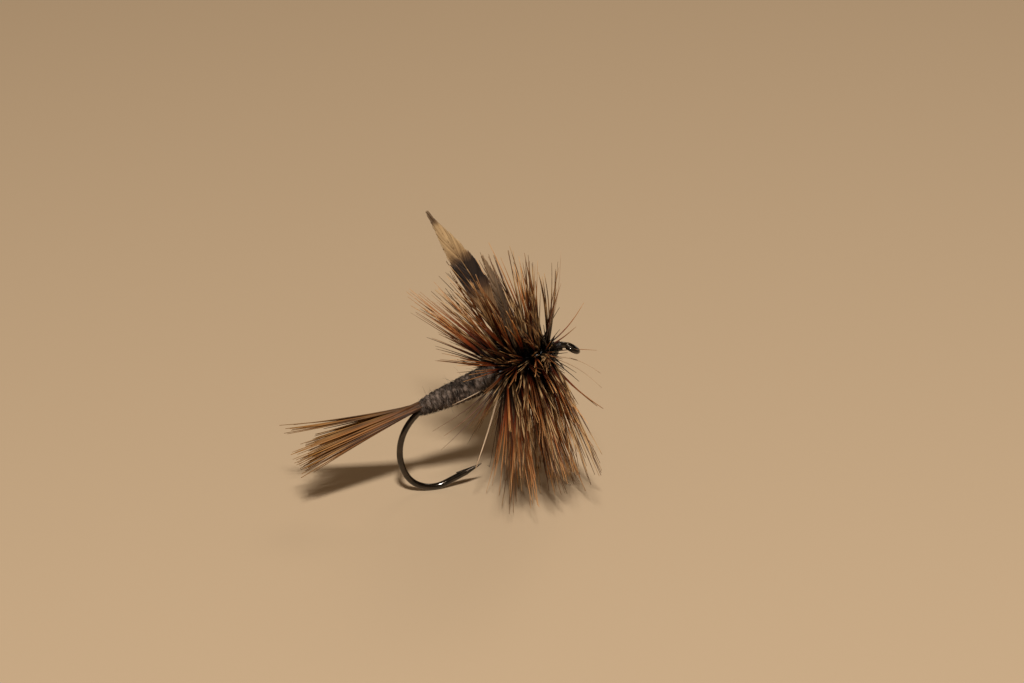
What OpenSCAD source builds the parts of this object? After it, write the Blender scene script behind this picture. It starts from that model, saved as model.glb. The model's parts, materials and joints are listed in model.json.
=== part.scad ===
// Hackle-tip winged dry fly on a size 12 down-eye hook, standing on its hackle tips.
// Everything is drawn along the hook shank first: X runs along the shank from the tail
// tie-in towards the eye, Z points away from the hook point. stand() then sets it down.

/* [Hook] */
// Gape, from the shank's centre line to the spear's centre line
gape = 5.7; // [5.2:0.1:6]
// Diameter of the hook wire
wire_d = 0.41; // [0.34:0.01:0.5]
// Where the straight shank turns into the bend
bend_start = 1.1; // [0.9:0.1:1.5]
// Radius of the open upper half of the bend
bend_open_r = 3.5; // [3.3:0.1:3.7]
// Angle turned before the bend tightens
bend_open_turn = 98; // [92:1:104]
// Angle that the spear closes in on the shank
spear_tilt = 4; // [0:1:6]
// Length of the spear, from the end of the bend to the tip of the point
spear_l = 2.6; // [2.4:0.05:3]
// Length of the tapered needle point
point_l = 1.1; // [0.8:0.1:1.4]
// Length of the straight shank from the tail tie-in to the neck of the eye
shank_l = 9.8; // [9.7:0.1:10.2]
// Angle that the eye is turned down
eye_drop = 50; // [40:1:55]
// Diameter of the hole through the eye
eye_bore_d = 0.66; // [0.62:0.01:0.7]

/* [Tail and body] */
// Length of the tail fibres behind the tie-in
tail_l = 8.4; // [7.5:0.1:9]
// Number of fibres in each of the tail's two layers
tail_count = 9; // [7:1:9]
// Angle that the tail fans out to the near side
fan_near = 5; // [3:1:8]
// Angle that the tail fans out to the far side
fan_far = 18; // [14:1:22]
// Where the dubbed body ends, just behind the hackle
body_end = 5.35; // [5:0.05:5.4]
// Radius of the body where it meets the hackle
body_fat_r = 0.85; // [0.75:0.05:0.95]
// Advance of the dubbing rope per turn
rope_pitch = 0.3; // [0.25:0.01:0.4]

/* [Wings] */
// Length of each hackle-tip wing
wing_l = 11.1; // [9.5:0.1:12]
// Full width of a wing
wing_w = 1.35; // [1.1:0.05:1.6]
// Angle that each wing stands out to its side
wing_spread = 20; // [14:1:26]
// Angle that the far wing leans back
far_rake = 8; // [4:1:12]
// Angle that the near wing leans back
near_rake = 0; // [-3:1:6]
// Angle that the near wing is turned about its stem
near_turn = 60; // [0:5:80]

/* [Hackle] */
// Length of the longest hackle barbs, measured from the quill
barb_l = 8.7; // [7.8:0.1:9]
// Diameter of a barb at its root
barb_d = 0.11; // [0.08:0.01:0.13]
// Barbs on each turn of quill
barbs_per_turn = 15; // [10:1:18]
// Turns of each of the two hackles
hackle_turns = 5; // [4:1:5]

/* [Stance] */
// Angle of the shank, nose up
nose_up = 20; // [18:1:22]

/* [Hidden] */

wire_r = wire_d / 2;
wire_fn = 32;
round_fn = 32;
thin_fn = 16;

// Bend: an open arc, then a tighter one that closes on the spear
bend_tight_r = (gape - bend_open_r * (1 - cos(bend_open_turn))) / (1 + cos(bend_open_turn));
tight_shift = bend_open_r - bend_tight_r;
tight_x = bend_start - tight_shift * sin(bend_open_turn);
tight_z = -bend_open_r + tight_shift * cos(bend_open_turn);

// Eye: a tapered ring on a short curved neck
neck_r = 0.45;
ring_wire_r = 0.15;
ring_r = eye_bore_d / 2 + 0.11;
neck_end_x = shank_l + neck_r * sin(eye_drop);
neck_end_z = -neck_r * (1 - cos(eye_drop));
eye_reach = ring_r + 0.08;
eye_x = neck_end_x + eye_reach * cos(eye_drop);
eye_z = neck_end_z - eye_reach * sin(eye_drop);

// Stance: the bottom of the bend and the lowest hackle tips both stand on Z = 0
tie_height = bend_tight_r + wire_r - tight_x * sin(nose_up) - tight_z * cos(nose_up);
stand_x = -1.83;
floor_gap = 0.02;

// Thread
thread_d = 0.08;
base_r = wire_r + 0.06;

// Tail
tail_root_x = 1.85;
tail_root_d = 0.08;
tail_tip_d = 0.03;
tail_wrap = 65;
tail_lift = 0.005;
lash_start = 1.28;
lash_turns = 7;
bundle_r = base_r + 2 * tail_root_d + 0.01;
lash_r = bundle_r + thread_d;

// Body
body_start = 0.2;
body_tail_r = 0.47;
body_swell = 1.9;
lump = 0.035;

// Wings
wing_x = 7.04;
stem_d = 0.17;
stem_tip_d = 0.06;
stem_cover = 0.9;
vane_t = 0.07;
vane_from = 0.85;

// Hackle
hackle_start = 5.6;
quill_pitch = 0.64;
quill_d = 0.14;
quill_r = base_r + quill_d / 2;
barb_root_r = quill_r + quill_d / 2 - 0.02;
barb_tip_d = 0.03;
lean_mean = -9;
lean_swing = 8;
lean_range = 34;
lean_jitter = 6;

// Head
head_start = 8.92;
head_turns = 8;
whip_turns = 4;
head_l = head_turns * thread_d;
varnish_t = 0.03;

// Set the fly down on the surface, nose up, with the origin under its middle
module stand() {
    translate([stand_x, 0, tie_height]) rotate([0, -nose_up, 0]) children();
}

// Solid of revolution about the shank from an outline of [position, radius] points
module turned(points) {
    rotate([0, 90, 0]) rotate_extrude($fn = round_fn)
        polygon([for (p = points) [p[1], p[0]]]);
}

// Piece of wire bent to an arc in the plane of the hook
module wire_arc(x, z, r, from, sweep, wire) {
    translate([x, 0, z]) rotate([90, 0, 0])
        rotate_extrude(angle = sweep, start = from, $fn = 96)
            translate([r, 0]) circle(r = wire, $fn = wire_fn);
}

// Straight piece of round stock that points towards the eye
module bar(x, z, l, r_back, r_front) {
    translate([x, 0, z]) rotate([0, 90, 0])
        cylinder(h = l, r1 = r_back, r2 = r_front, $fn = wire_fn);
}

// One barb: around turns it about the shank from straight up, lean tips it to the eye
module barb(x, root_r, around, lean, l, d_root, d_tip) {
    rotate([-around, 0, 0]) translate([x, 0, root_r]) rotate([0, lean, 0])
        cylinder(h = l, d1 = d_root, d2 = d_tip, $fn = thin_fn);
}

// Length of a barb that may run on until it meets the surface that the fly stands on
function rise(around, lean) =
    sin(lean) * sin(nose_up) + cos(lean) * cos(around) * cos(nose_up);
function root_height(x, around) =
    tie_height + x * sin(nose_up) + barb_root_r * cos(around) * cos(nose_up);
function barb_reach(x, around, lean, l) =
    rise(around, lean) >= -0.1 ? l
    : min(l, (root_height(x, around) - floor_gap) / -rise(around, lean));

module hook() {
    color("darkslategray") stand() {
        difference() {
            union() {
                bar(bend_start, 0, shank_l - bend_start, wire_r, wire_r);
                wire_arc(bend_start, -bend_open_r, bend_open_r, 90, bend_open_turn, wire_r);
                wire_arc(tight_x, tight_z, bend_tight_r, 90 + bend_open_turn,
                         180 - bend_open_turn + spear_tilt, wire_r);
                translate([bend_start - bend_open_r * sin(bend_open_turn), 0,
                           -bend_open_r * (1 - cos(bend_open_turn))]) joint();
                spear_frame() {
                    joint();
                    bar(0, 0, spear_l - point_l, wire_r, wire_r);
                    bar(spear_l - point_l - 0.05, 0, point_l + 0.05, wire_r, 0.02);
                    cut_barb();
                }
                wire_arc(shank_l, -neck_r, neck_r, 90 - eye_drop, eye_drop, wire_r);
                eye_frame() rotate_extrude($fn = 64)
                    translate([ring_r, 0]) circle(r = ring_wire_r, $fn = round_fn);
            }
            eye_frame() cylinder(h = 2, r = eye_bore_d / 2, center = true, $fn = 64);
        }
    }
}

// Frame of the eye: its Z is the axis of the hole
module eye_frame() {
    translate([eye_x, 0, eye_z]) rotate([0, eye_drop, 0]) children();
}

// Ball that closes the seam where two pieces of wire meet at a slight angle
module joint() {
    sphere(r = wire_r + 0.01, $fn = wire_fn);
}

// Frame of the spear: its X runs from the end of the bend to the tip of the point
module spear_frame() {
    translate([tight_x + bend_tight_r * sin(spear_tilt), 0,
               tight_z - bend_tight_r * cos(spear_tilt)])
        rotate([0, -spear_tilt, 0]) children();
}

// Sliver raised from the inside of the spear, pointing back into the bend
module cut_barb() {
    translate([spear_l - point_l - 0.1, 0, wire_r * 0.6])
        rotate([0, -72, 0]) cylinder(h = 0.55, r1 = 0.11, r2 = 0.02, $fn = thin_fn);
}

module thread_base() {
    color("dimgray") stand() difference() {
        union() {
            bar(bend_start, 0, shank_l - 0.1 - bend_start, base_r, base_r);
            wire_arc(bend_start, -bend_open_r, bend_open_r, 90, 20, base_r);
        }
        bar(bend_start, 0, shank_l - bend_start, wire_r, wire_r);
        wire_arc(bend_start, -bend_open_r, bend_open_r, 90, 21, wire_r);
    }
}

// Closed tube of flat sides through rings that all lie square to the shank.
// Each entry of path is a centre point, and radii holds the radius of each ring.
module ringed_tube(path, radii, sides) {
    last = len(path) - 1;
    points = [for (i = [0:last], k = [0:sides - 1])
        path[i] + radii[i] * [0, cos(360 * k / sides), sin(360 * k / sides)]];
    wall = [for (i = [0:last - 1], k = [0:sides - 1])
        [i * sides + k, i * sides + (k + 1) % sides,
         (i + 1) * sides + (k + 1) % sides, (i + 1) * sides + k]];
    back = [for (k = [sides - 1:-1:0]) k];
    front = [for (k = [0:sides - 1]) last * sides + k];
    polyhedron(points, concat(wall, [back, front]));
}

// One tail fibre: laid along the shank under the lashing, then free behind the bend.
// place runs from -1 on the near side to 1 on the far side.
module tail_fibre(place, layer, up, l) {
    r = base_r + (tail_root_d + 0.004) * (layer + 0.5);
    around = place * tail_wrap;
    slope = tan((place < 0 ? fan_near : fan_far) * place);
    steps = 7;
    free = [for (i = [0:steps]) l * i / steps];
    path = concat([[tail_root_x, r * sin(around), r * cos(around)]],
        [for (d = free) [-d, r * sin(around) + slope * d,
                         r * cos(around) + tan(up) * d + tail_lift * d * d]]);
    radii = concat([tail_root_d / 2],
        [for (d = free) (tail_root_d + (tail_tip_d - tail_root_d) * d / l) / 2]);
    ringed_tube(path, radii, 8);
}

// Every second fibre round both layers, so that the two feathers are mixed
module tail_half(which, seed) {
    shift = rands(-1, 1, 2 * tail_count, seed);
    for (layer = [0, 1], i = [0:tail_count - 1])
        if ((i + layer) % 2 == which)
            tail_fibre(2 * i / (tail_count - 1) - 1, layer,
                       layer * 4 + 1.5 * shift[2 * i + layer],
                       tail_l * (0.94 + 0.06 * shift[2 * i + layer]));
}

module tail_brown_fibres() {
    color("saddlebrown") stand() tail_half(0, 11);
}

module tail_grizzly_fibres() {
    color("tan") stand() tail_half(1, 23);
}

// Wraps of thread side by side, over a bore that holds what they bind
module wraps(x, turns, wrap_r, bore_r, pitch) {
    difference() {
        turned(concat([[x, bore_r - 0.05]], lumpy(x, turns, pitch, wrap_r),
                      [[x + turns * pitch, bore_r - 0.05]]));
        bar(x - 1, 0, turns * pitch + 2, bore_r, bore_r);
    }
}

// Outline of round ridges: each turn rises from a groove and falls back to one
function lumpy(x, turns, pitch, wrap_r) =
    [for (i = [0:turns - 1], a = [0:30:150])
        [x + pitch * (i + a / 180), wrap_r - thread_d * 0.35 * (1 - sin(a))]];

module tail_lashing() {
    color("black") stand() wraps(lash_start, lash_turns, lash_r, bundle_r, thread_d);
}

// Radius of the dubbed body, thin at the tail and full behind the hackle
function body_r(x) =
    body_tail_r + (body_fat_r - body_tail_r) * 1.06 * (1 - exp(-x / body_swell));

module body_dubbing() {
    turns = floor((body_end - body_start) / rope_pitch);
    color("gray") stand() difference() {
        turned(concat([[body_start, 0.2]],
            [for (i = [0:turns - 1], a = [0:30:150]) let (x = body_start + rope_pitch * (i + a / 180))
                [x, body_r(x) - lump * (1 - sin(a))]],
            [[body_start + turns * rope_pitch, 0.2]]));
        bar(0, 0, shank_l, base_r, base_r);
        bar(0, 0, tail_root_x + 0.01, bundle_r, bundle_r);
        bar(lash_start - 0.02, 0, tail_root_x + 0.03 - lash_start, lash_r, lash_r);
    }
}

module body_guard_hairs() {
    around = rands(0, 360, 14, 5);
    place = rands(1, body_end - 0.6, 14, 6);
    lean = rands(-65, -40, 14, 7);
    color("silver") stand() for (i = [0:13])
        barb(place[i], body_r(place[i]) - 0.06, around[i], lean[i], 1.1, 0.05, 0.02);
}

// Wings: side is -1 for the near one and 1 for the far one
module wing_frame(side) {
    rotate([-side * wing_spread, 0, 0]) translate([wing_x, 0, base_r])
        rotate([0, side < 0 ? -near_rake : -far_rake, 0])
            rotate([0, 0, side < 0 ? near_turn : 0]) children();
}

module stem(side, grow) {
    wing_frame(side) cylinder(h = wing_l * stem_cover, d1 = stem_d + grow,
                              d2 = stem_tip_d + grow, $fn = thin_fn);
}

// Half width of the feather along its length, 0 at the root and 1 at the tip
function vane_half(t) = wing_w / 2 * pow(sin(180 * pow(t, 0.9)), 0.8) + 0.02;

module vane(side) {
    run = wing_l - vane_from;
    edge = [for (i = [0:24]) let (t = i / 24) [vane_half(t), vane_from + run * t]];
    other = [for (i = [24:-1:0]) let (t = i / 24) [-vane_half(t), vane_from + run * t]];
    difference() {
        wing_frame(side) rotate([90, 0, 0])
            linear_extrude(vane_t, center = true) polygon(concat(edge, other));
        stem(side, 0);
    }
}

module wing_near_stem() { color("wheat") stand() stem(-1, 0); }
module wing_far_stem() { color("wheat") stand() stem(1, 0); }
module wing_near_vane() { color("tan") stand() vane(-1); }
module wing_far_vane() { color("tan") stand() vane(1); }

// Turns of thread that hold each wing upright by its root
module wing_lashing() {
    collar_r = stem_d / 2 + thread_d / 2;
    color("black") stand() for (side = [-1, 1], i = [0:2])
        wing_frame(side) translate([0, 0, 0.42 + i * thread_d])
            rotate_extrude($fn = round_fn) translate([collar_r, 0])
                circle(d = thread_d, $fn = thin_fn);
}

// Helical quill: a tube of round section, swept along the turns
function quill_point(start, i, per_turn) =
    let (a = 360 * i / per_turn)
    [start + quill_pitch * i / per_turn, quill_r * sin(a), quill_r * cos(a)];
function quill_ring(start, i, per_turn, sides) =
    let (c = quill_point(start, i, per_turn), a = 360 * i / per_turn)
    [for (k = [0:sides - 1]) let (b = 360 * k / sides)
        [c[0] + quill_d / 2 * cos(b), c[1] + quill_d / 2 * sin(b) * sin(a),
         c[2] + quill_d / 2 * sin(b) * cos(a)]];

module quill(start) {
    per_turn = 20;
    sides = 8;
    last = hackle_turns * per_turn;
    points = [for (i = [0:last]) each quill_ring(start, i, per_turn, sides)];
    wall = [for (i = [0:last - 1], k = [0:sides - 1])
        [i * sides + k, (i + 1) * sides + k,
         (i + 1) * sides + (k + 1) % sides, i * sides + (k + 1) % sides]];
    caps = [[for (k = [0:sides - 1]) k], [for (k = [sides - 1:-1:0]) last * sides + k]];
    polyhedron(points, concat(wall, caps));
}

module brown_hackle_quill() { color("maroon") stand() quill(hackle_start); }
module grizzly_hackle_quill() { color("dimgray") stand() quill(hackle_start + quill_pitch / 2); }

// The barbs of one turn stand out all round. Above, the first turns lean back and the last
// ones forward, and below they all sweep back, so that the fly rests on them.
module barb_turn(start, turn, seed) {
    jitter = rands(-1, 1, barbs_per_turn * 3, seed + turn);
    for (i = [0:barbs_per_turn - 1]) {
        a = 360 * (i + 0.5 + 0.3 * jitter[3 * i]) / barbs_per_turn;
        x = start + quill_pitch * (turn - 1 + a / 360);
        middle = (x - hackle_start) / (hackle_turns * quill_pitch) - 0.5;
        lean = lean_mean + lean_swing * cos(a) + lean_range * middle
            + lean_jitter * jitter[3 * i + 1];
        l = barb_l * (0.97 + 0.04 * jitter[3 * i + 2]);
        if (!beside_wing(a, x))
            barb(x, barb_root_r, a, lean, barb_reach(x, a, lean, l), barb_d, barb_tip_d);
    }
}
function beside_wing(a, x) =
    abs(x - wing_x) < 0.6 && (abs(a - wing_spread) < 9 || abs(a - 360 + wing_spread) < 9);

module brown_barbs(turn) { color("sienna") stand() barb_turn(hackle_start, turn, 100); }
module grizzly_barbs(turn) {
    color("darkgray") stand() barb_turn(hackle_start + quill_pitch / 2, turn, 200);
}

// Thread over the trimmed ends of both quills, just ahead of the last turn
module hackle_tie_down() {
    color("black") stand() wraps(5.36, 2, 0.46, base_r, thread_d);
}

// Head: thread built up to a neat taper behind the eye
function head_r(t) = 0.4 + 0.22 * sin(180 * pow(t, 0.8));

module head_thread() {
    color("black") stand() difference() {
        turned(concat([[head_start, base_r - 0.05]],
            [for (i = [0:head_turns - 1], a = [0:45:135]) let (t = (i + a / 180) / head_turns)
                [head_start + head_l * t, head_r(t) - thread_d * 0.25 * (1 - sin(a))]],
            [[head_start + head_l, base_r - 0.05]]));
        bar(head_start - 1, 0, 2 + head_l, base_r, base_r);
    }
}

// Turns of the finishing knot, in front of the head
module whip_finish() {
    color("black") stand()
        wraps(head_start + head_l, whip_turns, base_r + thread_d, base_r, thread_d);
}

// Film of varnish over the head
module head_cement() {
    steps = 12;
    color("dimgray") stand() turned(concat(
        [for (i = [0:steps]) let (t = i / steps)
            [head_start + head_l * t, head_r(t) + varnish_t]],
        [for (i = [steps:-1:0]) let (t = i / steps)
            [head_start + head_l * t, head_r(t) + 0.002]]));
}

hook();
thread_base();
tail_brown_fibres();
tail_grizzly_fibres();
tail_lashing();
body_dubbing();
body_guard_hairs();
wing_near_stem();
wing_near_vane();
wing_far_stem();
wing_far_vane();
wing_lashing();
brown_hackle_quill();
grizzly_hackle_quill();
for (i = [1:hackle_turns]) {
    brown_barbs(i);
    grizzly_barbs(i);
}
hackle_tie_down();
head_thread();
whip_finish();
head_cement();
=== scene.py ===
# %% [markdown]
# # A dry fly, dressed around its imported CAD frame
# The frame holds the hook and a plain solid for every piece of the fly. Here each soft piece gets
# its real look: barbs that taper and curve, fur spun into a rope, feather tips with their bars,
# and thread wound turn by turn. Blender works in metres, and a fly is only 22 mm long, so sizes
# below are written in millimetres and turned into metres by one constant.

# %% Load the frame
import json
import math
import random

import bpy
import numpy as np
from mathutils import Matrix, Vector


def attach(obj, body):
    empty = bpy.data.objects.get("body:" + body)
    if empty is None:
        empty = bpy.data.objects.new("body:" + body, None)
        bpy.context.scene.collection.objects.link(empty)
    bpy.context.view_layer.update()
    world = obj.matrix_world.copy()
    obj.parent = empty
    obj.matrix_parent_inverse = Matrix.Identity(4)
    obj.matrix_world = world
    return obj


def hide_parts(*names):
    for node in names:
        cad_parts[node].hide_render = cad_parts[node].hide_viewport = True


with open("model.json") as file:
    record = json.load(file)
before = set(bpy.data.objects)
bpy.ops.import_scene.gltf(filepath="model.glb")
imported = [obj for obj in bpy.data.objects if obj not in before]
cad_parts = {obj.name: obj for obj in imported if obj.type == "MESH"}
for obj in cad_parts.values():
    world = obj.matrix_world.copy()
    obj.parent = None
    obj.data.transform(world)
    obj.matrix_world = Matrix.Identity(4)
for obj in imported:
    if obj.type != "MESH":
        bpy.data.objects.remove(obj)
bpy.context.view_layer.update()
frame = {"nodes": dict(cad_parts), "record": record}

MM = 0.001
nodes = frame["nodes"]
print("CAD nodes:", len(nodes))

# %% [markdown]
# ## The shank as a ruler
# A fly tyer thinks along the hook shank: the tail is tied in at one end and the head is at the
# other. So every place below is given along the shank (x), to the side (y) and away from the
# shank (z). The eye of the hook is a mount in the record, which fixes where that ruler lies in
# the row frame, and the fly stands nose up.

# %% Places along the shank
NOSE_UP = math.radians(20)
EYE_ALONG, EYE_ABOVE = 10.479, -0.559
mounts = {m["name"]: m for m in frame["record"]["mounts"]}
eye_place = np.array(mounts["hook_eye"]["pos_m"])
ALONG = np.array([math.cos(NOSE_UP), 0, math.sin(NOSE_UP)])
ASIDE = np.array([0.0, 1.0, 0.0])
ABOVE = np.array([-math.sin(NOSE_UP), 0, math.cos(NOSE_UP)])
SHANK_ZERO = eye_place - MM * (EYE_ALONG * ALONG + EYE_ABOVE * ABOVE)


def on_fly(points):
    """Points in shank millimetres, as rows of x, y, z, become places in the frame in metres."""
    p = np.atleast_2d(points)
    return SHANK_ZERO + MM * (p[:, :1] * ALONG + p[:, 1:2] * ASIDE + p[:, 2:3] * ABOVE)


print("tail tie-in stands", round(SHANK_ZERO[2] / MM, 2), "mm above the table")

# %% [markdown]
# ## One strand, used for everything thin
# Barbs, tail fibres and hairs are all thin round tapers. One strand is modelled: a small
# circle extruded in short steps, with a length of 1. Copies of it are then laid along curves.
# Modelling it once keeps every strand light, which matters when a fly has over a thousand.


# %% A strand to copy
def deselect():
    bpy.ops.object.select_all(action="DESELECT")


def make_strand(name, sides, steps):
    deselect()
    bpy.ops.mesh.primitive_circle_add(vertices=sides, radius=1, fill_type="NGON")
    strand = bpy.context.object
    strand.name = name
    bpy.ops.object.mode_set(mode="EDIT")
    bpy.ops.mesh.select_all(action="SELECT")
    for _ in range(steps):
        bpy.ops.mesh.extrude_region_move(TRANSFORM_OT_translate={"value": (0, 0, 1 / steps)})
    bpy.ops.mesh.select_all(action="SELECT")
    bpy.ops.mesh.normals_make_consistent(inside=False)
    bpy.ops.object.mode_set(mode="OBJECT")
    corners = np.array([v.co for v in strand.data.vertices])
    faces = [tuple(p.vertices) for p in strand.data.polygons]
    bpy.data.objects.remove(strand)
    print(name, len(faces), "faces")
    return corners, faces


BARB = make_strand("barb_pattern", 5, 10)
HAIR = make_strand("hair_pattern", 3, 4)

# %% [markdown]
# ## Laying strands along curves
# A strand's curve is a function of t, from 0 at its root to 1 at its tip. Each ring of the strand
# is put square to the curve, at the radius that the taper gives there. The UV map keeps how far
# along the strand a point is (u) and a tone that all of one strand shares (v), so a material can
# bar a feather along its barbs and make no two barbs quite the same colour.


# %% Laying copies of a strand
class Bundle:
    """Copies of strands that end up as one mesh."""

    def __init__(self):
        self.points, self.faces, self.uv, self.count = [], [], [], 0

    def lay(self, strand, curve, radius, tone, flat=1.0, face=None, along=None):
        corners, faces = strand
        t = np.round(corners[:, 2], 6)
        rings, which = np.unique(t, return_inverse=True)
        centre = np.array([curve(r) for r in rings])
        run = np.gradient(centre, axis=0)
        run /= np.linalg.norm(run, axis=1)[:, None]
        hint = np.array(face if face is not None else (0.0, 0.0, 1.0))
        if abs(run[0] @ hint) > 0.95:
            hint = np.array((0.0, 1.0, 0.0))
        side = np.cross(run, hint)
        side /= np.linalg.norm(side, axis=1)[:, None]
        up = np.cross(side, run)
        r = np.array([radius(v) for v in rings])[which][:, None]
        made = centre[which] + r * (corners[:, :1] * side[which] + flat * corners[:, 1:2] * up[which])
        first = self.count
        self.points.append(on_fly(made))
        self.faces.extend(tuple(i + first for i in f) for f in faces)
        u = np.array([along(v) for v in rings])[which] if along else t
        self.uv.append(np.column_stack([u, np.full(len(t), tone)]))
        self.count += len(t)

    def mesh(self, name):
        data = bpy.data.meshes.new(name)
        points = np.vstack(self.points)
        uv = np.vstack(self.uv)
        data.from_pydata(points.tolist(), [], self.faces)
        layer = data.uv_layers.new(name="strand")
        corner = np.empty(len(data.loops), int)
        data.loops.foreach_get("vertex_index", corner)
        layer.data.foreach_set("uv", uv[corner].ravel())
        data.polygons.foreach_set("use_smooth", [True] * len(data.polygons))
        data.update()
        piece = bpy.data.objects.new(name, data)
        bpy.context.scene.collection.objects.link(piece)
        print(name, len(data.polygons), "faces")
        return piece


def finish_piece(piece, material, slot, *cad_nodes):
    piece.data.materials.clear()
    piece.data.materials.append(material)
    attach(piece, "root")
    if cad_nodes:
        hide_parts(*cad_nodes)


# %% [markdown]
# ## Materials
# A small helper starts each finish: a Principled shader with its plain values set directly on the
# sockets. Patterns are then built from the strand's UV map or from Object coordinates, which stay
# fixed to the fly when the camera moves.


# %% Starting a material
class Finish:
    def __init__(self, name, roughness, **values):
        self.material = bpy.data.materials.new(name)
        self.material.use_nodes = True
        self.tree = self.material.node_tree
        self.shader = self.tree.nodes["Principled BSDF"]
        self.shader.inputs["Roughness"].default_value = roughness
        for key, value in values.items():
            self.shader.inputs[key.replace("_", " ")].default_value = value

    def node(self, kind, inputs=None, **settings):
        made = self.tree.nodes.new(kind)
        for key, value in settings.items():
            setattr(made, key, value)
        for key, value in (inputs or {}).items():
            if isinstance(value, bpy.types.NodeSocket):
                self.tree.links.new(value, made.inputs[key])
            else:
                made.inputs[key].default_value = value
        return made

    def math(self, operation, a, b=0.0):
        return self.node("ShaderNodeMath", {0: a, 1: b}, operation=operation).outputs[0]

    def ramp(self, factor, stops, interpolation="LINEAR"):
        made = self.node("ShaderNodeValToRGB", {"Fac": factor})
        made.color_ramp.interpolation = interpolation
        for i, (place, colour) in enumerate(stops):
            stop = made.color_ramp.elements[i] if i < 2 else made.color_ramp.elements.new(place)
            stop.position = place
            stop.color = (*colour, 1)
        return made.outputs["Color"]

    def mix(self, factor, a, b, blend="MIX"):
        made = self.node("ShaderNodeMix", data_type="RGBA", blend_type=blend)
        for socket, value in ((made.inputs[0], factor), (made.inputs[6], a), (made.inputs[7], b)):
            if isinstance(value, bpy.types.NodeSocket):
                self.tree.links.new(value, socket)
            else:
                socket.default_value = value if isinstance(value, float) else (*value, 1)
        return made.outputs[2]

    def strand_uv(self):
        made = self.node("ShaderNodeSeparateXYZ", {0: self.node("ShaderNodeUVMap").outputs[0]})
        return made.outputs[0], made.outputs[1]

    def object_noise(self, scale, detail=3.0):
        place = self.node("ShaderNodeTexCoord").outputs["Object"]
        noise = self.node("ShaderNodeTexNoise", {"Vector": place, "Scale": scale, "Detail": detail})
        return noise.outputs["Fac"]

    def colour(self, socket):
        self.tree.links.new(socket, self.shader.inputs["Base Color"])

    def bump(self, height, strength, distance):
        made = self.node("ShaderNodeBump", {"Height": height, "Strength": strength, "Distance": distance})
        self.tree.links.new(made.outputs[0], self.shader.inputs["Normal"])


# %% [markdown]
# ### Brown and grizzly cock hackle
# Hackle barbs are stiff and glossy. The brown feather is nearly black at its web, red-brown half way
# and tan at the tips. Its near-black towards the quill is partly the web's own colour and partly
# painted shade of the crowded hackle core. Its bright red-brown half way is partly its own colour and
# partly a painted glow for light shining through the thin barbs. The grizzly one is barred, dark and
# cream in turn, and its bars fall at a different place on each barb, so the tone in v shifts them.
# It too is darkened towards the quill, partly as its own web colour and partly as painted shade of
# the core. A few barbs of it have no dark bar at all, and take a plain cream finish.


# %% Feather finishes
def brown_feather():
    f = Finish("brown_feather", 0.4, Specular_IOR_Level=0.4)
    u, v = f.strand_uv()
    # Near-black towards the quill: the web's own colour and painted shade of the hackle core. Red-brown
    # half way: the barb's own colour and a painted glow of light through it.
    base = f.ramp(u, [(0.0, (0.005, 0.002, 0.001)), (0.24, (0.016, 0.004, 0.001)),
                      (0.46, (0.20, 0.040, 0.009)), (0.68, (0.34, 0.135, 0.038)),
                      (1.0, (0.50, 0.28, 0.11))])
    tone = f.ramp(v, [(0.0, (0.22, 0.17, 0.16)), (0.45, (0.75, 0.62, 0.58)),
                      (1.0, (1.55, 1.45, 1.35))])
    f.colour(f.mix(1.0, base, tone, "MULTIPLY"))
    return f.material


def grizzly_feather():
    f = Finish("grizzly_feather", 0.45, Specular_IOR_Level=0.35)
    u, v = f.strand_uv()
    wave = f.math("FRACT", f.math("ADD", f.math("MULTIPLY", u, 2.3), f.math("MULTIPLY", v, 3.7)))
    bars = f.ramp(wave, [(0.0, (0.11, 0.050, 0.018)), (0.36, (0.15, 0.070, 0.026)),
                         (0.52, (0.50, 0.31, 0.14)), (0.84, (0.68, 0.45, 0.225)),
                         (1.0, (0.11, 0.050, 0.018))])
    # Darker towards the quill: the web's own colour and painted shade of the hackle core.
    web_and_core_shade = f.ramp(u, [(0.0, (0.03, 0.024, 0.02)), (0.24, (0.07, 0.055, 0.05)), (0.5, (0.85, 0.82, 0.79)),
                     (1.0, (0.9, 0.82, 0.72))])
    f.colour(f.mix(1.0, bars, web_and_core_shade, "MULTIPLY"))
    return f.material


def cream_barb():
    f = Finish("cream_barb", 0.45, Specular_IOR_Level=0.5)
    u = f.strand_uv()[0]
    f.colour(f.ramp(u, [(0.0, (0.10, 0.065, 0.04)), (0.25, (0.48, 0.33, 0.20)),
                        (0.8, (0.62, 0.44, 0.28)), (1.0, (0.50, 0.33, 0.19))]))
    return f.material


BROWN = brown_feather()
GRIZZLY = grizzly_feather()
CREAM = cream_barb()
print("feather finishes ready")

# %% [markdown]
# ### Hook, thread, fur and varnish
# The hook is drawn wire under a dark bronze lacquer, nearly black, with sharp bright reflections.
# The thread is waxed black, the fur is matte and mottled, and the varnish on the head is clear.


# %% Hook, thread, fur and varnish finishes
def bronzed_wire():
    f = Finish("bronzed_wire", 0.16, Metallic=0.85, Coat_Weight=1.0, Coat_Roughness=0.03)
    f.colour(f.ramp(f.object_noise(1800), [(0.3, (0.010, 0.007, 0.005)), (0.7, (0.045, 0.030, 0.018))]))
    f.bump(f.object_noise(9000, 2), 0.12, 0.00002)
    return f.material


def tying_thread():
    f = Finish("tying_thread", 0.45, Specular_IOR_Level=0.5)
    f.colour(f.ramp(f.object_noise(6000), [(0.3, (0.007, 0.004, 0.003)), (0.8, (0.028, 0.018, 0.013))]))
    f.bump(f.object_noise(16000, 2), 0.4, 0.00002)
    return f.material


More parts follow.
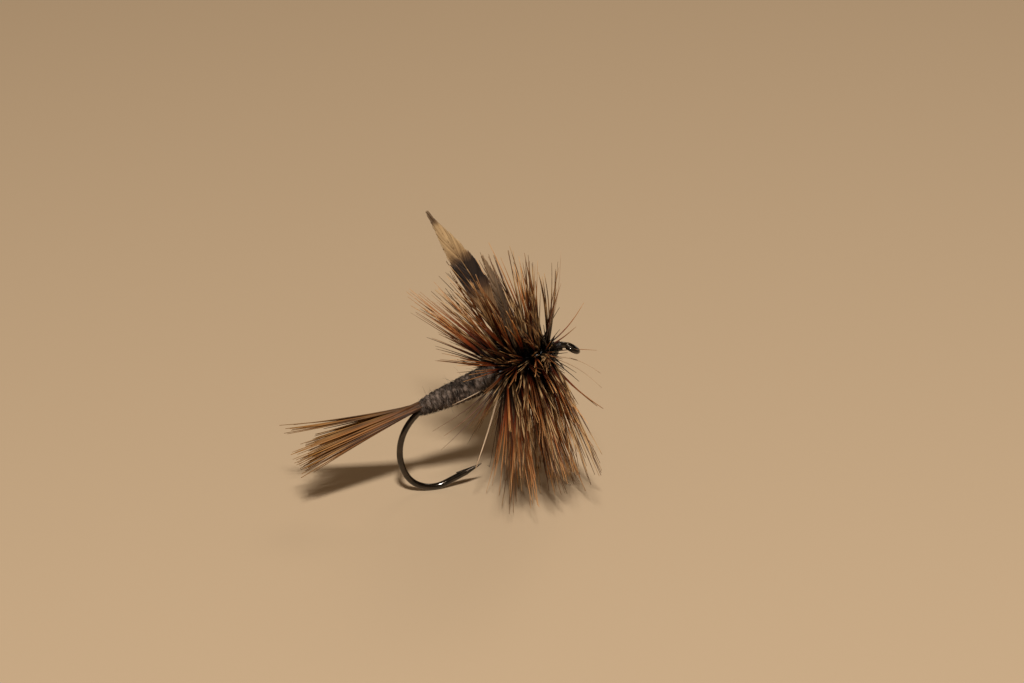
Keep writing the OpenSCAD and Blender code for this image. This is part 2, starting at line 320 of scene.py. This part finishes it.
def grey_fur():
    f = Finish("grey_fur", 0.9, Specular_IOR_Level=0.2)
    tuft = f.math("ADD", f.math("MULTIPLY", f.object_noise(2600, 5), 0.6),
                  f.math("MULTIPLY", f.object_noise(900, 2), 0.4))
    f.colour(f.ramp(tuft, [(0.38, (0.008, 0.005, 0.003)), (0.5, (0.050, 0.033, 0.023)),
                           (0.62, (0.21, 0.155, 0.120))]))
    f.bump(f.object_noise(9000, 4), 0.8, 0.00005)
    return f.material


def fur_hair():
    f = Finish("fur_hair", 0.7, Specular_IOR_Level=0.3)
    v = f.strand_uv()[1]
    f.colour(f.ramp(v, [(0.0, (0.018, 0.011, 0.007)), (0.5, (0.085, 0.060, 0.045)),
                        (1.0, (0.32, 0.25, 0.20))]))
    return f.material


def head_varnish():
    f = Finish("head_varnish", 0.08, Transmission_Weight=1.0, IOR=1.45)
    f.shader.inputs["Base Color"].default_value = (0.22, 0.17, 0.14, 1)
    return f.material


BRONZE = bronzed_wire()
THREAD = tying_thread()
FUR = grey_fur()
FUR_HAIR = fur_hair()
VARNISH = head_varnish()

# %% [markdown]
# ## The hook
# A hook is one piece of wire: eye, shank, bend, cut barb and needle point. Its CAD solid already
# has the true curves, so it stays and only takes the bronze finish, with its facets smoothed.


# %% Finish the CAD pieces that stay
def keep(node, material):
    piece = nodes[node]
    piece.data.materials.clear()
    piece.data.materials.append(material)
    deselect()
    piece.select_set(True)
    bpy.context.view_layer.objects.active = piece
    bpy.ops.object.shade_smooth_by_angle(angle=math.radians(50))


keep("hook", BRONZE)
for name in ("thread_base", "tail_lashing", "wing_lashing", "hackle_tie_down"):
    keep(name, THREAD)

# %% [markdown]
# ## The tail
# The tail keeps the fly level on the water. It is a bunch of stiff fibres from both feathers,
# laid along the shank, that fans out a little behind the bend. There are many more fibres here
# than in the CAD, so that they lie close together and look like one wedge.


# %% The line of one tail fibre
TAIL_LENGTH = 8.5
TAIL_ROOT = 1.8
FIBRES_EACH = 56
FAN_NEAR, FAN_FAR = math.tan(math.radians(6.5)), math.tan(math.radians(15))


def tail_curve(place, layer, up, length, sag):
    around = math.radians(65) * place
    r = 0.30 + 0.08 * layer
    slope = (FAN_NEAR if place < 0 else FAN_FAR) * place
    reach = TAIL_ROOT + length

    def curve(t):
        d = t * reach - TAIL_ROOT
        free = max(d, 0.0)
        ease = free * free / (free + 0.4)
        return (-d, r * math.sin(around) + slope * ease,
                r * math.cos(around) + up * ease + sag * free * free)
    return curve


# %% [markdown]
# The fibres on the far side are the shortest. Most keep to the wedge, and every eighth one strays
# a few degrees above it and curls, as loose fibres do. The two feathers get their own finish:
# amber for the brown one, and a greyer brown with faint dark bars for the other.


# %% Tail fibres
def tail(name, seed, material, slot, node):
    rng = random.Random(seed)
    bundle = Bundle()
    for i in range(FIBRES_EACH):
        place = 2 * (i + rng.uniform(-0.5, 0.5)) / (FIBRES_EACH - 1) - 1
        up, sag = rng.uniform(-3, 3), rng.uniform(-0.006, 0.004)
        length = TAIL_LENGTH * rng.uniform(0.86, 1.0) * (1 - 0.22 * max(place, 0))
        if i % 8 == 5:
            up, sag, place = rng.uniform(4, 8), rng.uniform(0.004, 0.010), rng.uniform(0.5, 1)
        curve = tail_curve(max(-1, min(1, place)), rng.uniform(0, 1.6), math.tan(math.radians(up)),
                           length, sag)
        thick = rng.uniform(0.070, 0.088)
        bundle.lay(BARB, curve, lambda t: thick * (1 - 0.75 * t ** 2), rng.random(), 0.8)
    finish_piece(bundle.mesh(name), material, slot, node)


def tail_finish(name, stops):
    f = Finish(name, 0.45, Specular_IOR_Level=0.25)
    u, v = f.strand_uv()
    tone = f.ramp(v, [(0.0, (0.3, 0.24, 0.22)), (0.5, (0.85, 0.8, 0.75)), (1.0, (1.35, 1.3, 1.25))])
    f.colour(f.mix(1.0, f.ramp(u, stops), tone, "MULTIPLY"))
    return f.material


TAIL_BROWN = tail_finish("tail_brown", [(0.15, (0.07, 0.026, 0.006)), (0.35, (0.14, 0.052, 0.011)),
                                        (0.7, (0.27, 0.112, 0.022)), (1.0, (0.31, 0.150, 0.036))])
TAIL_GREY = tail_finish("tail_grey", [(0.15, (0.06, 0.028, 0.009)), (0.35, (0.10, 0.045, 0.013)),
                                      (0.5, (0.19, 0.092, 0.027)), (0.62, (0.10, 0.044, 0.013)),
                                      (0.8, (0.28, 0.145, 0.045)), (1.0, (0.23, 0.115, 0.036))])
tail("tail_brown", 3, TAIL_BROWN, "brown_feather", "tail_brown_fibres")
tail("tail_grizzly", 8, TAIL_GREY, "grizzly_feather", "tail_grizzly_fibres")

# %% [markdown]
# ## Curved tubes
# Thread, quills and the rope of fur are long and wound round the shank. A curve with a round
# bevel draws such a thing well: its points follow a helix, each point has its own radius, and
# the curve is then turned into a mesh.


# %% A tube along points
def tube(name, points, radii, sides=3):
    deselect()
    bpy.ops.curve.primitive_nurbs_path_add(location=(0, 0, 0))
    piece = bpy.context.object
    piece.name = name
    curve = piece.data
    curve.splines.clear()
    spline = curve.splines.new("POLY")
    spline.points.add(len(points) - 1)
    places = on_fly(points)
    spline.points.foreach_set("co", np.column_stack([places, np.ones(len(places))]).ravel())
    spline.points.foreach_set("radius", list(radii))
    curve.dimensions = "3D"
    curve.bevel_depth = MM
    curve.bevel_resolution = sides
    curve.use_fill_caps = True
    bpy.ops.object.convert(target="MESH")
    piece = bpy.context.object
    bpy.ops.object.shade_smooth()
    print(name, len(piece.data.polygons), "faces")
    return piece


def helix(start, end, pitch, radius, per_turn=20, phase=0.0):
    """Points wound round the shank, with radius as a function of the place along it."""
    turns = (end - start) / pitch
    n = int(abs(turns) * per_turn) + 1
    made = []
    for i in range(n + 1):
        x = start + (end - start) * i / n
        a = phase + 2 * math.pi * turns * i / n
        made.append((x, radius(x) * math.sin(a), radius(x) * math.cos(a)))
    return made


def join(name, pieces):
    deselect()
    for p in pieces:
        p.select_set(True)
    bpy.context.view_layer.objects.active = pieces[0]
    bpy.ops.object.join()
    pieces[0].name = name
    return pieces[0]


# %% [markdown]
# ## The body
# Underfur is twisted round the thread into a soft rope, and the rope is wound forward in touching
# turns, so the body shows slanting ridges and swells towards the hackle. The rope is a tube on a
# helix whose radius wanders a little. A core fills the middle. Then thousands of short hairs
# cover it, because without them the body would look like clay.

# %% Body rope
BODY_FROM, BODY_TO = 0.05, 5.4
ROPE_PITCH, ROPE_RADIUS = 0.36, 0.185
SHORT_HAIRS, LONG_HAIRS = 2600, 40


def body_radius(x):
    return 0.42 + 0.44 * (1 - math.exp(-max(x, 0) / 1.9))


def body():
    rng = random.Random(21)
    places = np.linspace(BODY_FROM, BODY_TO, 24)
    core = tube("body_core", [(x, 0, 0) for x in places], [body_radius(x) - 0.14 for x in places], 6)
    path = helix(BODY_FROM, BODY_TO, ROPE_PITCH, lambda x: body_radius(x) - 0.17, 28)
    wander = [ROPE_RADIUS + 0.02 * math.sin(i * 0.23) + 0.015 * math.sin(i * 1.1) + rng.uniform(-0.02, 0.02)
              for i in range(len(path))]
    rope = tube("body_rope", path, wander, 3)
    finish_piece(join("dubbed_body", [core, rope]), FUR, "grey_fur", "body_dubbing")


body()

# %% [markdown]
# The fuzz is laid on afterwards. Short hairs curl round the body, either way, and a few long guard
# hairs stick out of it.


# %% Fuzz of the body
def hair_on_body(bundle, rng, length, lift, thick):
    x = BODY_FROM + 0.1 + (BODY_TO - BODY_FROM - 0.1) * rng.random()
    a = rng.uniform(0, 2 * math.pi)
    wind = rng.choice((-1, 1)) * rng.uniform(0.3, 1.2)
    back = rng.uniform(-0.6, 0.3)
    r0 = body_radius(x) - 0.04

    def curve(t):
        r = r0 + lift * t * length + 0.02
        turn = a + wind * length * t / max(r0, 0.3)
        return (x + back * length * t, r * math.sin(turn), r * math.cos(turn))
    bundle.lay(HAIR, curve, lambda t: thick * (1 - 0.8 * t), rng.random())


def fuzz():
    rng = random.Random(5)
    bundle = Bundle()
    for _ in range(SHORT_HAIRS):
        hair_on_body(bundle, rng, rng.uniform(0.2, 0.6), rng.uniform(0.0, 0.22), 0.013)
    for _ in range(LONG_HAIRS):
        hair_on_body(bundle, rng, rng.uniform(0.5, 1.2), rng.uniform(0.3, 0.8), 0.011)
    finish_piece(bundle.mesh("body_fuzz"), FUR_HAIR, "grey_fur", "body_guard_hairs")


fuzz()

# %% [markdown]
# ## The wings
# Each wing is the tip of a barred feather: a tapered stem with barbs that leave it at a slant and
# lie edge to edge. Barbs laid one by one give the ragged edge and the thin tip that a single
# sheet can't. The UV runs along the wing, so one material can paint its bars: a dark one across
# the middle, cream above it, and dark again on the last barbs. The near wing is cut from a greyer
# place on the feather.

# %% Wing and stem finishes
WING_LENGTH = 11.1
WING_SPREAD = math.radians(20)


def wing_finish():
    f = Finish("wing_feather", 0.6, Specular_IOR_Level=0.3)
    u, v = f.strand_uv()
    fray = f.math("MULTIPLY", f.math("SUBTRACT", f.object_noise(2200), 0.5), 0.045)
    strand = f.math("MULTIPLY", f.math("SUBTRACT", v, 0.5), 0.014)
    place = f.math("ADD", f.math("ADD", u, fray), strand)
    bars = f.ramp(place, [
        (0.0, (0.06, 0.033, 0.016)), (0.25, (0.14, 0.068, 0.027)), (0.41, (0.21, 0.115, 0.048)),
        (0.47, (0.06, 0.028, 0.012)), (0.53, (0.014, 0.007, 0.004)), (0.635, (0.022, 0.011, 0.005)),
        (0.67, (0.12, 0.065, 0.028)), (0.705, (0.34, 0.21, 0.095)), (0.79, (0.47, 0.315, 0.155)),
        (0.895, (0.43, 0.285, 0.14)), (0.93, (0.11, 0.062, 0.030)), (1.0, (0.22, 0.14, 0.07))])
    tone = f.ramp(v, [(0.0, (0.72, 0.69, 0.66)), (1.0, (1.16, 1.14, 1.12))])
    f.colour(f.mix(1.0, bars, tone, "MULTIPLY"))
    return f.material


def quill_finish():
    f = Finish("feather_quill", 0.4, Specular_IOR_Level=0.5)
    u = f.strand_uv()[0]
    f.colour(f.ramp(u, [(0.0, (0.10, 0.055, 0.025)), (0.5, (0.17, 0.095, 0.042)),
                        (1.0, (0.34, 0.21, 0.10))]))
    return f.material


def grey_wing_finish():
    f = Finish("grey_wing_feather", 0.65, Specular_IOR_Level=0.3)
    u, v = f.strand_uv()
    fray = f.math("MULTIPLY", f.math("SUBTRACT", f.object_noise(2200), 0.5), 0.12)
    shade = f.ramp(f.math("ADD", u, fray), [
        (0.0, (0.05, 0.03, 0.018)), (0.3, (0.16, 0.10, 0.058)), (0.55, (0.12, 0.08, 0.05)),
        (0.8, (0.36, 0.26, 0.17)), (1.0, (0.46, 0.33, 0.20))])
    tone = f.ramp(v, [(0.0, (0.65, 0.62, 0.6)), (1.0, (1.25, 1.22, 1.2))])
    f.colour(f.mix(1.0, shade, tone, "MULTIPLY"))
    return f.material


WING = wing_finish()
GREY_WING = grey_wing_finish()
QUILL = quill_finish()

# %% [markdown]
# The far wing leans back and shows its flat side. The near one stands upright and is turned about
# its stem, so from the side it shows little more than its edge. Hand-tied pairs often set this way.


# %% How each wing stands
def wing_axes(side):
    """Directions along the wing, across its width and out of its face, in shank axes."""
    spread = side * WING_SPREAD
    rake = math.radians(8 if side > 0 else 0)
    turn = math.radians(0 if side > 0 else 60)
    along = np.array([-math.sin(rake), math.cos(rake) * math.sin(spread),
                      math.cos(rake) * math.cos(spread)])
    across = np.array([math.cos(rake), math.sin(rake) * math.sin(spread),
                       math.sin(rake) * math.cos(spread)])
    out = np.cross(along, across)
    turned_across = math.cos(turn) * across + math.sin(turn) * out
    return along, turned_across, np.cross(along, turned_across)


def wing_width(t):
    return 0.78 * math.sin(math.pi * min(max(t, 0.0), 1.0)) ** 1.1


# %% [markdown]
# Barbs leave the stem all along it and reach forward by about two millimetres. Past the end of the
# stem they carry on by themselves and make the thin brush of the tip.


# %% Wings
WING_ROOT, VANE_FROM = 7.04, 0.85
BARBS_EACH_HAND, BARB_RISE = 95, 2.1


def wing(side, word, seed, full_length, material):
    rng = random.Random(seed)
    along, across, out = wing_axes(side)
    spread = side * WING_SPREAD
    root = np.array([WING_ROOT, 0.27 * math.sin(spread), 0.27 * math.cos(spread)])
    stem_end = full_length * 0.9

    def stem_line(d):
        bow = math.sin(math.pi * d / full_length)
        return root + along * d + out * 0.10 * bow * side + across * 0.3 * bow

    stem = Bundle()
    stem.lay(BARB, lambda t: stem_line(stem_end * t), lambda t: 0.075 * (1 - 0.72 * t), 0.5)
    finish_piece(stem.mesh(f"{word}_wing_stem"), QUILL, "feather_quill", f"wing_{word}_stem")

    vane = Bundle()
    for hand in (-1, 1):
        for i in range(BARBS_EACH_HAND):
            part = (i + rng.uniform(-0.3, 0.3)) / (BARBS_EACH_HAND - 1)
            s = VANE_FROM + (stem_end - VANE_FROM) * min(max(part, 0.0), 1.0)
            shortest = 0.72 if i > 0.85 * BARBS_EACH_HAND else 0.9
            rise = min(full_length - s, BARB_RISE) * rng.uniform(shortest, 1.0)
            tip_t = (s + rise - VANE_FROM) / (full_length - VANE_FROM)
            width = max(wing_width(tip_t) * rng.uniform(0.86, 1.03), rng.uniform(0.0, 0.11))
            curl = rng.uniform(-0.06, 0.06)
            layer = rng.uniform(-0.012, 0.012)

            def curve(t):
                w = width * (1 - (1 - t) ** 1.7)
                return stem_line(s + rise * t) + across * hand * w + out * (layer + curl * t * t)

            vane.lay(BARB, curve, lambda t: 0.07 * (1 - 0.6 * t ** 3), rng.random(), 0.22, out,
                     lambda t: (s + rise * t) / full_length)
    finish_piece(vane.mesh(f"{word}_wing_vane"), material, "wing_feather", f"wing_{word}_vane")


wing(-1, "near", 31, WING_LENGTH - 0.7, GREY_WING)
wing(1, "far", 32, WING_LENGTH, WING)

# %% [markdown]
# ## The hackle
# Two cock feathers are wound on edge, side by side, so their barbs stand out all round like the
# bristles of a brush. The fly stands and floats on those tips. First the two quills, which go
# round the shank together, five turns each.

# %% Hackle quills
HACKLE_FROM, QUILL_PITCH, TURNS = 5.6, 0.64, 5
HACKLE_TO = HACKLE_FROM + QUILL_PITCH * TURNS
for word, offset in (("brown", 0.0), ("grizzly", QUILL_PITCH / 2)):
    path = helix(HACKLE_FROM + offset, HACKLE_TO + offset, QUILL_PITCH, lambda x: 0.335, 24)
    piece = tube(f"{word}_quill", path, [0.07] * len(path), 2)
    finish_piece(piece, THREAD, f"{word}_feather", f"{word}_hackle_quill")

# %% [markdown]
# ### Which way a barb goes
# Above the shank, barbs of the first turns lean back and those of the last turns lean forward, so
# that they open like a fan on either side of the wings. Below, all of them sweep back. The
# longest ones point down and a little towards the near side. A barb that reaches the table bends there
# and its tip lies along it. Barbs beside the head are stroked back, which keeps the eye clear for
# the leader, and those that would lie against a wing are short, so the wings stay in view.

# %% The line of one barb
BARB_LENGTH = 8.6
LONGEST_WAY = math.radians(205)
TABLE = 0.04


def barb_lean(x, around, rng):
    middle = (x - HACKLE_FROM) / (HACKLE_TO - HACKLE_FROM) - 0.5
    above = math.cos(around)
    scatter = (6 + above) * (rng.uniform(-1, 1) + rng.uniform(-1, 1))
    lean = math.radians(-10 + 6 * above + (27 + 17 * above) * middle + scatter)
    beside_head = middle > 0 and abs(above) < 0.8
    return -0.5 * lean if beside_head and lean > 0 else lean


def barb_way(around, lean):
    return np.array([math.sin(lean), math.cos(lean) * math.sin(around), math.cos(lean) * math.cos(around)])


def barb_reach(around, lean):
    way = barb_way(around, lean)
    beside_wing = max(way @ wing_axes(side)[0] for side in (-1, 1)) > math.cos(math.radians(9))
    return BARB_LENGTH * (0.6 if beside_wing else 1.02 + 0.10 * math.cos(around - LONGEST_WAY))


def barb_curve(x, around, lean, length, bend):
    """A barb that leaves the quill, curves a little and never goes under the table."""
    start = np.array([x, 0, 0]) + 0.36 * barb_way(around, 0)
    tip_way = barb_way(around, lean)
    sway = barb_way(around, lean + math.pi / 2)

    def curve(t):
        p = start + tip_way * length * t + sway * bend * length * t * t
        height = (SHANK_ZERO[2] / MM) + p[0] * ALONG[2] + p[2] * ABOVE[2]
        if height < TABLE:
            p = p + (TABLE - height) * np.array([ALONG[2], 0, ABOVE[2]])
        return p
    return curve


# %% [markdown]
# ### Long barbs and webby ones
# Barbs cling together in threes, fours and fives that leave the quill at one place and part
# towards their tips. That gives the hackle its spiky look. Between them near the quill is the
# web: short, soft barbs that fill the middle and hide the shank. They take only the near-black
# start of the feather finish, which is partly the web's own dark colour and partly painted shade
# of the hackle's crowded core. On the first turn many of them lie back over the end of the body.


# %% One turn of hackle
CLUMPS, WEBS = 25, 60


def hackle_turn(word, turn, start, seed, material):
    rng = random.Random(seed * 10 + turn)
    bundle = Bundle()
    for i in range(CLUMPS):
        part = (i + rng.uniform(-0.45, 0.45)) / CLUMPS
        x = start + QUILL_PITCH * (turn - 1 + part)
        around = 2 * math.pi * part
        lean = barb_lean(x, around, rng)
        reach = barb_reach(around, lean)
        reach *= rng.uniform(0.88, 1.0) if rng.random() < 0.75 else rng.uniform(0.55, 0.88)
        bend, tone = rng.uniform(-0.09, 0.05), rng.random()
        for _ in range(rng.choice((3, 3, 4, 5))):
            curve = barb_curve(x + rng.gauss(0, 0.03), around + rng.gauss(0, 0.035),
                               lean + rng.gauss(0, 0.028), reach * rng.uniform(0.78, 1.0),
                               bend + rng.gauss(0, 0.02))
            thick = rng.uniform(0.058, 0.078)
            shade = min(max(tone + rng.uniform(-0.2, 0.2), 0.0), 1.0)
            bundle.lay(BARB, curve, lambda t: thick * (1 - 0.8 * t ** 1.4), shade, 0.6)
    for i in range(WEBS):
        part = (i + rng.random()) / WEBS
        x = start + QUILL_PITCH * (turn - 1 + part)
        back = -28 if turn == 1 and rng.random() < 0.6 else -5
        curve = barb_curve(x, 2 * math.pi * part, math.radians(rng.gauss(back, 20)),
                           rng.uniform(0.9, 3.0), rng.uniform(-0.2, 0.2))
        # Webs use only the first fifth of the feather finish, its near-black part: web colour and painted
        # shade of the core.
        bundle.lay(HAIR, curve, lambda t: 0.07 * (1 - 0.75 * t), rng.uniform(0, 0.35), 0.8,
                   along=lambda t: 0.2 * t)
    finish_piece(bundle.mesh(f"{word}_barbs_{turn}"), material, f"{word}_feather",
                 f"{word}_barbs_turn_{turn}")


for turn in range(1, TURNS + 1):
    hackle_turn("brown", turn, HACKLE_FROM, 40, BROWN)
    hackle_turn("grizzly", turn, HACKLE_FROM + QUILL_PITCH / 2, 50, GRIZZLY)

# %% [markdown]
# ### Stray barbs
# A hand-wound hackle always has some barbs trapped at odd angles by the thread. Here they are
# placed one by one: thin ones swept back under the body, one pale one that hangs in front of the
# hook's point, one along the body's side, and a few round the eye.


# %% Stray barbs
def stray_barbs(name, material, slot, places):
    rng = random.Random(71)
    bundle = Bundle()
    for root, tip, bow, thick, tone in places:
        a, b = np.array(root), np.array(tip)
        side = np.cross(b - a, (0.0, 1.0, 0.0))
        side /= np.linalg.norm(side)
        bundle.lay(BARB, lambda t: a + (b - a) * t + side * bow * math.sin(math.pi * t),
                   lambda t: thick * (1 - 0.75 * t ** 1.5), tone + rng.uniform(-0.04, 0.04), 0.7)
    finish_piece(bundle.mesh(name), material, slot)


stray_barbs("stray_brown_barbs", BROWN, "brown_feather", [
    ((5.7, -0.2, -0.3), (0.2, -1.5, -1.0), 0.25, 0.045, 0.15),
    ((5.7, -0.2, -0.3), (0.7, -1.8, -1.5), 0.3, 0.05, 0.25),
    ((5.8, -0.2, -0.3), (0.2, -2.2, -2.1), 0.25, 0.045, 0.1),
    ((5.8, -0.2, -0.3), (2.5, -1.5, -2.0), 0.2, 0.05, 0.2),
    ((8.85, 0.0, 0.3), (12.3, 0.5, 1.8), -0.25, 0.06, 0.6),
    ((8.85, -0.1, 0.3), (11.2, -0.3, 0.9), -0.1, 0.07, 0.3),
    ((8.85, 0.0, -0.1), (11.9, 0.0, -1.45), 0.15, 0.05, 0.5),
    ((8.8, -0.1, -0.3), (10.9, -0.3, -5.4), -0.25, 0.075, 0.55),
    ((8.8, -0.1, -0.3), (10.6, -0.2, -5.1), -0.15, 0.07, 0.35)])
stray_barbs("stray_cream_barbs", CREAM, "grizzly_feather", [
    ((5.7, -0.2, -0.3), (1.7, -3.0, -3.9), 0.08, 0.10, 0.5),
    ((6.2, -0.4, -0.1), (2.0, -1.1, -0.1), 0.12, 0.07, 0.5),
    ((6.3, -0.4, -0.2), (4.1, -3.0, -5.3), 0.1, 0.085, 0.5),
    ((8.85, -0.1, -0.3), (11.6, 0.0, -3.1), 0.35, 0.06, 0.5),
    ((8.85, -0.1, -0.3), (11.3, -0.2, -4.0), 0.3, 0.05, 0.5),
    ((8.8, 0.0, 0.3), (12.1, 0.2, 6.0), -0.3, 0.06, 0.5)])

# %% [markdown]
# ## The head
# The head is nothing but thread: tight turns over the ends of both quills, tapered to the eye,
# then a finishing knot and a drop of clear varnish.

# %% Head, finishing knot and varnish
HEAD_FROM, HEAD_LENGTH, THREAD_D = 8.92, 0.64, 0.08


def head_radius(x):
    t = min(max((x - HEAD_FROM) / HEAD_LENGTH, 0), 1)
    return 0.4 + 0.22 * math.sin(math.pi * t ** 0.8)


head_end = HEAD_FROM + HEAD_LENGTH
steps = np.linspace(HEAD_FROM, head_end, 14)
core = tube("head_core", [(x, 0, 0) for x in steps], [head_radius(x) - 0.05 for x in steps], 6)
path = helix(HEAD_FROM, head_end, THREAD_D, lambda x: head_radius(x) - 0.04, 26)
wraps = tube("head_wraps", path, [0.044] * len(path), 2)
finish_piece(join("thread_head", [core, wraps]), THREAD, "tying_thread", "head_thread")

path = helix(head_end, head_end + 4 * THREAD_D, THREAD_D, lambda x: 0.31, 24)
knot = tube("finishing_knot", path, [0.04] * len(path), 2)
finish_piece(knot, THREAD, "tying_thread", "whip_finish")
keep("head_cement", VARNISH)

# %% [markdown]
# ## The table
# A plain pale table, warm as bare wood is, with nothing on it but the fly.

# %% Table
deselect()
bpy.ops.mesh.primitive_plane_add(size=6, location=(0, 0, 0))
table = bpy.context.object
table.name = "table"
f = Finish("pale_table", 0.6, Specular_IOR_Level=0.2)
f.shader.inputs["Base Color"].default_value = (0.56, 0.41, 0.26, 1)
table.data.materials.append(f.material)

# %% [markdown]
# ## Light
# One soft lamp stands in front, above and a little to the left, so the fly's shadow falls behind
# it. A weak one behind lights the edges of the barbs, and a dim warm sky fills the shadows. Colours
# are shown without a film curve, so that the dyed browns stay warm.


# %% Lamps and sky
def lamp(name, place, aim, size, power, colour):
    deselect()
    bpy.ops.object.light_add(type="AREA", location=place)
    made = bpy.context.object
    made.name = name
    made.data.size = size
    made.data.energy = power
    made.data.color = colour
    made.rotation_euler = (Vector(aim) - Vector(place)).to_track_quat("-Z", "Y").to_euler()


middle = Vector((0, 0, 0.008))
lamp("key", (-0.045, -0.215, 0.345), middle, 0.05, 1.6, (1.0, 0.97, 0.93))
lamp("rim", (0.18, 0.26, 0.24), middle, 0.12, 0.13, (1.0, 0.86, 0.68))
world = bpy.data.worlds.new("sky")
bpy.context.scene.world = world
world.use_nodes = True
world.node_tree.nodes["Background"].inputs[0].default_value = (1.0, 0.72, 0.44, 1)
world.node_tree.nodes["Background"].inputs[1].default_value = 0.12
bpy.context.scene.view_settings.view_transform = "Standard"

# %% [markdown]
# ## Camera
# It looks down by 25 degrees, turned 15 degrees towards the tail, through a long lens from 18 cm.
# The fly's hackle hub is the point it is aimed from, so it would follow a fly of another stance.

# %% Camera
CAMERA_UP = math.radians(25)
CAMERA_TURN = math.radians(-15)
CAMERA_AWAY = 0.18
AIM_LEFT, AIM_UP = 0.64 * MM, 1.32 * MM
back = Vector((math.sin(CAMERA_TURN) * math.cos(CAMERA_UP),
               -math.cos(CAMERA_TURN) * math.cos(CAMERA_UP), math.sin(CAMERA_UP)))
right = Vector((math.cos(CAMERA_TURN), math.sin(CAMERA_TURN), 0))
up = back.cross(right)
hub = Vector(on_fly([((HACKLE_FROM + HACKLE_TO) / 2, 0, 0)])[0])
aim = hub - right * AIM_LEFT + up * AIM_UP
bpy.ops.object.camera_add(location=aim + back * CAMERA_AWAY)
camera = bpy.context.object
camera.name = "bench_camera"
camera.rotation_euler = (-back).to_track_quat("-Z", "Y").to_euler()
camera.data.lens = 100
camera.data.sensor_width = 36
camera.data.clip_start = 0.005
bpy.context.scene.camera = camera
